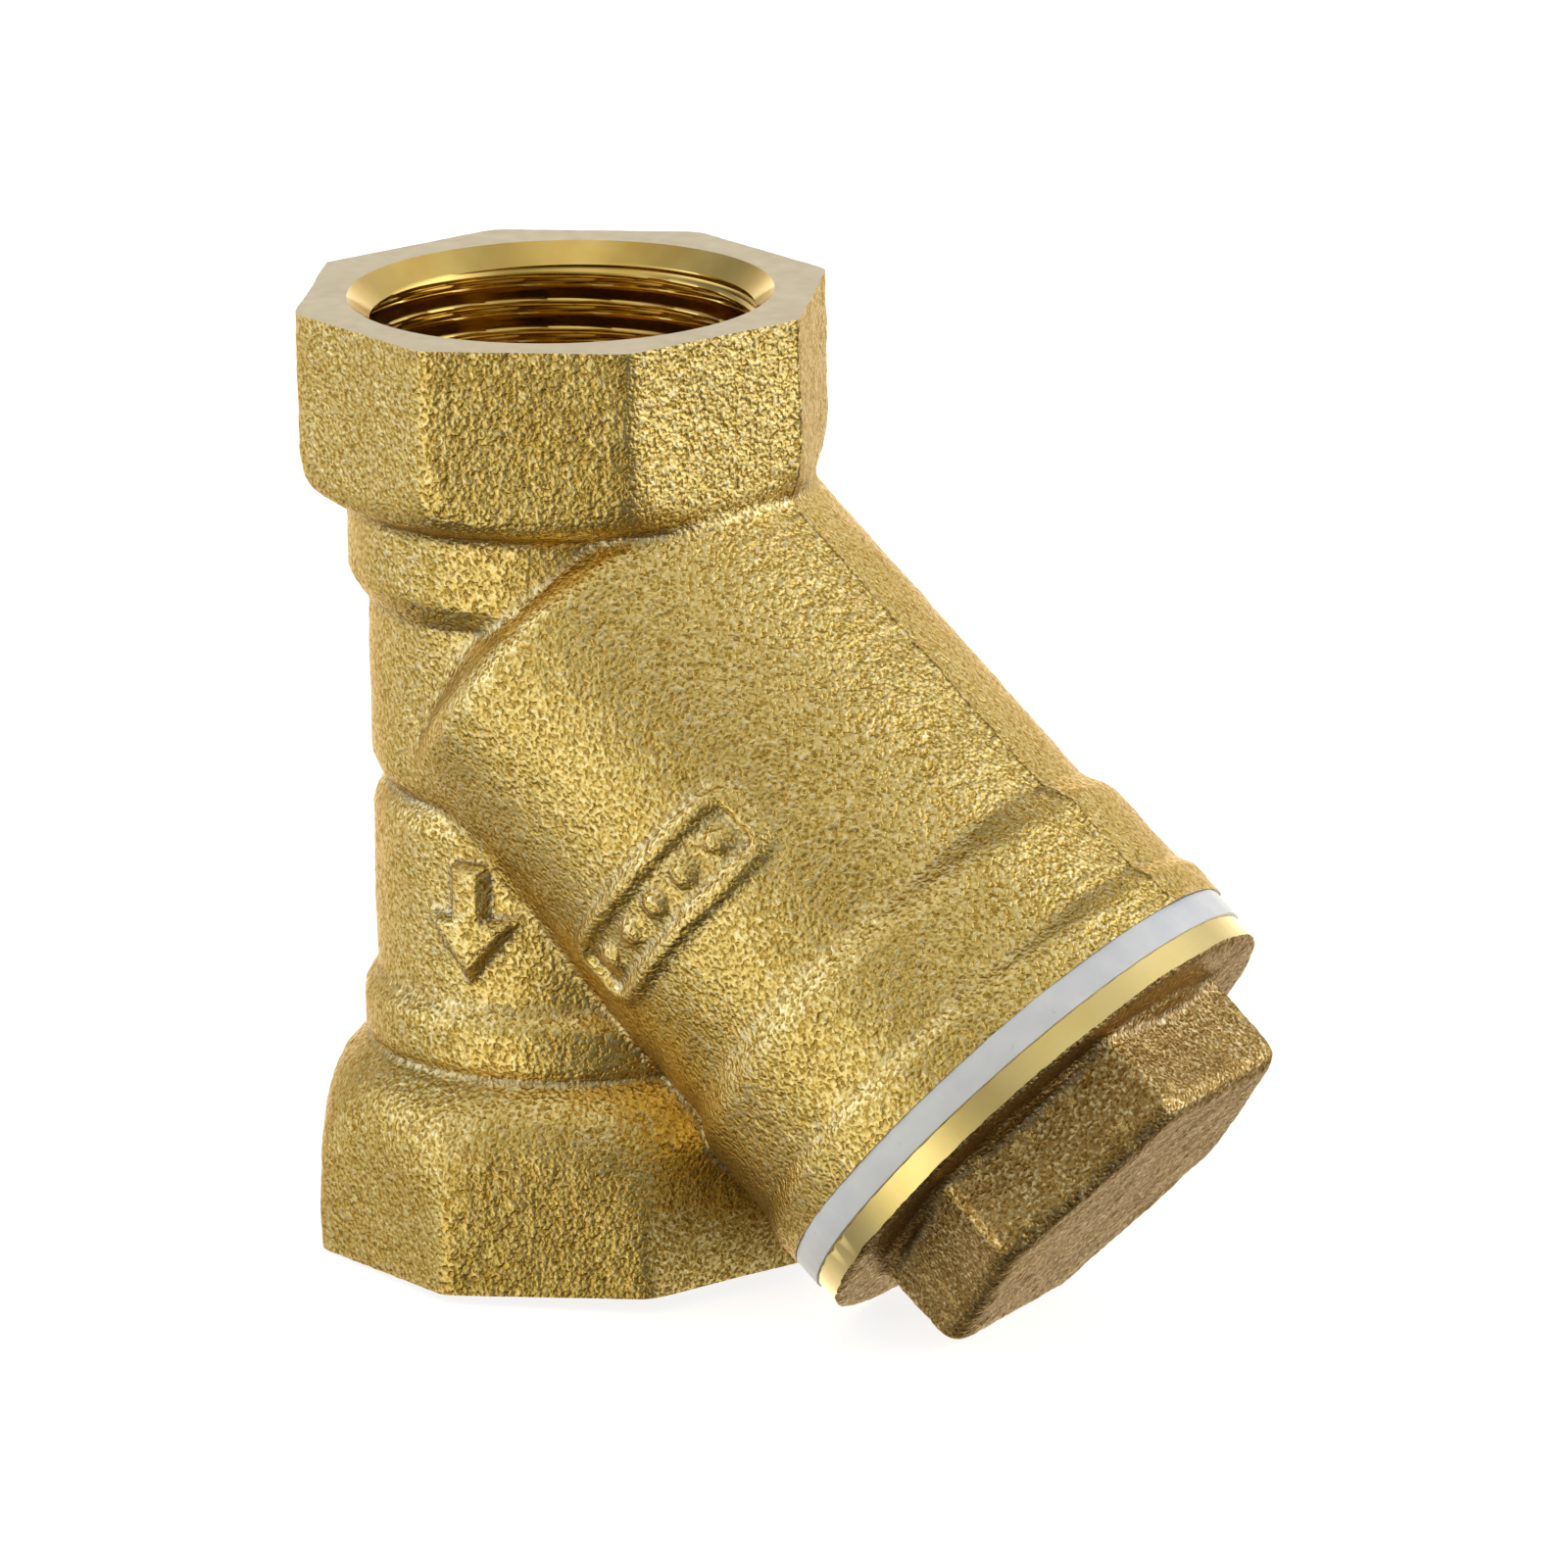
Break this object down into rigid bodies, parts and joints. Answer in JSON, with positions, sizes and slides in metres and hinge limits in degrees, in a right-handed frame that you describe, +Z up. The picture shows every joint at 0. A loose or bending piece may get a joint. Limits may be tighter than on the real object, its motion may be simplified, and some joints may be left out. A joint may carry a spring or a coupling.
{
  "type": "y strainer",
  "caption": "Threaded brass Y strainer: octagonal female ports on a straight run, and a slanted branch that holds a screen behind a hexagonal screw cap.",
  "frame": {"origin": "centre of the outlet port face, on the run's centre line", "axes": "+Z up the run from the outlet to the inlet; the branch leans down towards +X; XZ is the plane of symmetry"},
  "size_m": [0.0808, 0.0442, 0.0798],
  "materials": {
    "cast_brass": "shot-blasted casting with machined port faces and threads",
    "turned_brass": "forged hexagon, turned flange rim and thread",
    "ptfe": "waxy white PTFE",
    "stainless": "rolled perforated sheet"
  },
  "bodies": {
    "body": {"body": "cast_brass"},
    "screen": {"screen_sheet": "stainless", "screen_upper_rim": "stainless", "screen_lower_rim": "stainless"},
    "gasket": {"gasket": "ptfe"},
    "cap": {"cap": "turned_brass"}
  },
  "joints": [
    {"name": "screen_draw", "type": "slide", "parent": "body", "child": "screen", "axis": [0.7373, 0, -0.6756], "range_m": [0, 0.048]},
    {"name": "cap_travel", "type": "slide", "parent": "screen", "child": "gasket", "axis": [0.7373, 0, -0.6756], "range_m": [0, 0.0091]},
    {"name": "cap_turn", "type": "hinge", "parent": "gasket", "child": "cap", "pos_m": [0, 0, 0.0535], "axis": [0.7373, 0, -0.6756], "range_deg": [0, 2160]}
  ],
  "couplings": [
    {"joint": "cap_travel", "follows": "cap_turn", "m_per_rad": 0.00023873}
  ]
}
